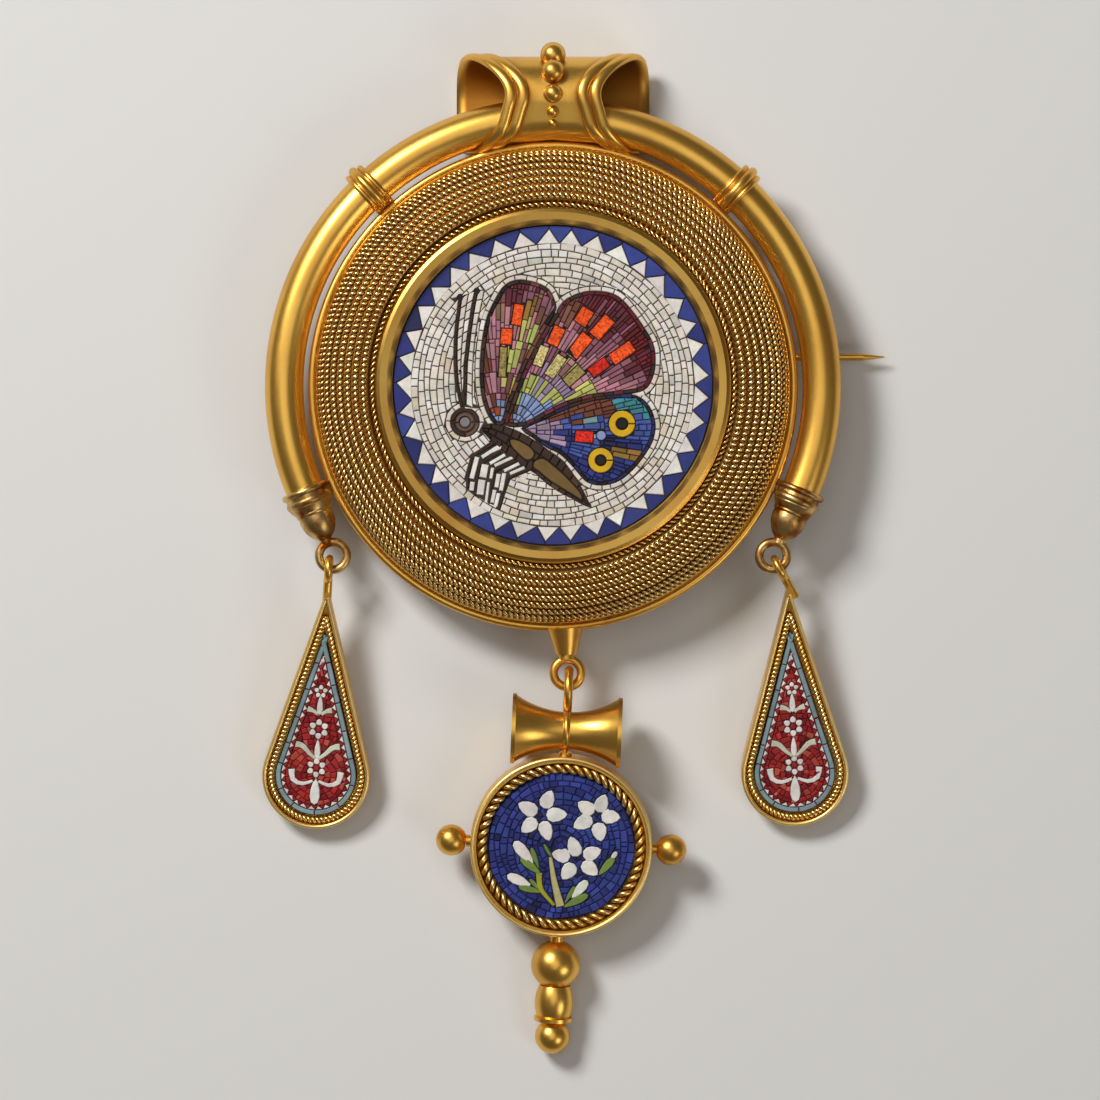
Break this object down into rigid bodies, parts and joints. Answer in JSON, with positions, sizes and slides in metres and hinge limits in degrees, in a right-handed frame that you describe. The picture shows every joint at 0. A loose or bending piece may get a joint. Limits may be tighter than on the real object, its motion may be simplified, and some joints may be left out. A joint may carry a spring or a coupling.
{
  "type": "micromosaic pendant brooch",
  "caption": "Round micromosaic brooch with a rope wire border, crescent tube, ribbon bail, two teardrop drops and a round drop with a finial.",
  "frame": {"origin": "on the disc's axis, level with what the back's hinge and catch lie on", "axes": "+Z out of the mosaic's face, +Y towards the bail, +X towards the pin's tip"},
  "size_m": [0.0471, 0.0762, 0.0073],
  "materials": {
    "gold": "satin, worn bright",
    "aged_gold": "darkened, satin",
    "pin_gold": "polished",
    "butterfly_glass": "opaque glass pieces, semi-gloss",
    "flower_glass": "opaque glass pieces, semi-gloss",
    "tear_glass": "opaque glass pieces, semi-gloss"
  },
  "bodies": {
    "brooch": {"case": "gold", "rope_border": "gold", "bezel": "gold", "butterfly_mosaic": "butterfly_glass", "crescent_tube": "gold", "left_cap": "aged_gold", "right_cap": "aged_gold", "bail": "gold", "spool": "gold", "round_frame": "gold", "round_rope": "gold", "flower_mosaic": "flower_glass", "left_tear_frame": "gold", "left_tear_rope": "gold", "left_tear_mosaic": "tear_glass", "right_tear_frame": "gold", "right_tear_rope": "gold", "right_tear_mosaic": "tear_glass", "hinge_rivet": "pin_gold"},
    "pin": {"pin_stem": "pin_gold"}
  },
  "joints": [
    {"name": "pin_hinge", "type": "hinge", "parent": "brooch", "child": "pin", "pos_m": [-0.014, 0.0023, 0.00115], "axis": [0, 1, 0], "range_deg": [0, 90]}
  ]
}
